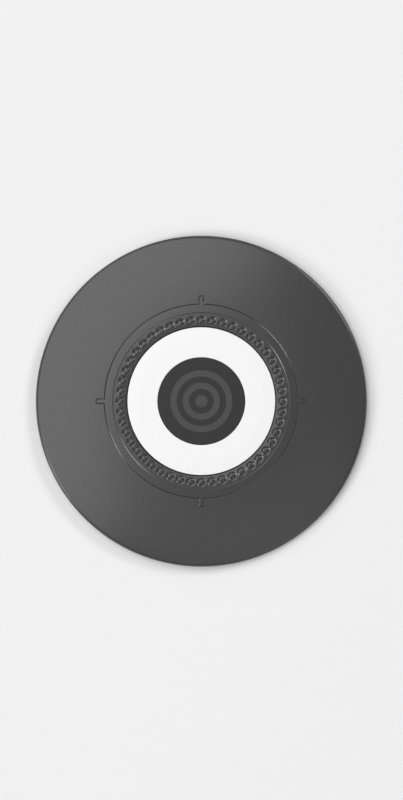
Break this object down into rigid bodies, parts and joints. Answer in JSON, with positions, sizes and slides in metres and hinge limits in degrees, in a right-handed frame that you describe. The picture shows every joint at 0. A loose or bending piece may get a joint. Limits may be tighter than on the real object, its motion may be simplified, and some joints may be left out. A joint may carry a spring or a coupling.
{
  "type": "adhesive magnetic phone patch",
  "caption": "Shallow domed grey disc with a keyed insert, a ring of small teeth, a white ring over a magnet and an adhesive foam back, for the back of a phone.",
  "frame": {"origin": "centre of the adhesive's underside", "axes": "+Z out of the face, along the disc's axis; +Y towards the top of the phone, through a key tab"},
  "size_m": [0.067, 0.067, 0.004],
  "materials": {
    "foam_tape": "black acrylic foam tape, slightly tacky, fine cells",
    "plate_steel": "cold-rolled, lightly oiled",
    "magnet_plating": "bright nickel plating",
    "insert_plastic": "rigid plastic, satin",
    "body_plastic": "soft-touch plastic, smooth satin",
    "ring_plastic": "white plastic, semi-gloss",
    "cap_plastic": "dark plastic, satin",
    "print_ink": "grey ink, tone on tone"
  },
  "bodies": {
    "root": {"adhesive_pad": "foam_tape", "shield_plate": "plate_steel", "magnet_disc": "magnet_plating", "core_housing": "insert_plastic", "patch_body": "body_plastic", "white_ring": "ring_plastic", "centre_cap": "cap_plastic", "centre_print": "print_ink"}
  },
  "joints": []
}
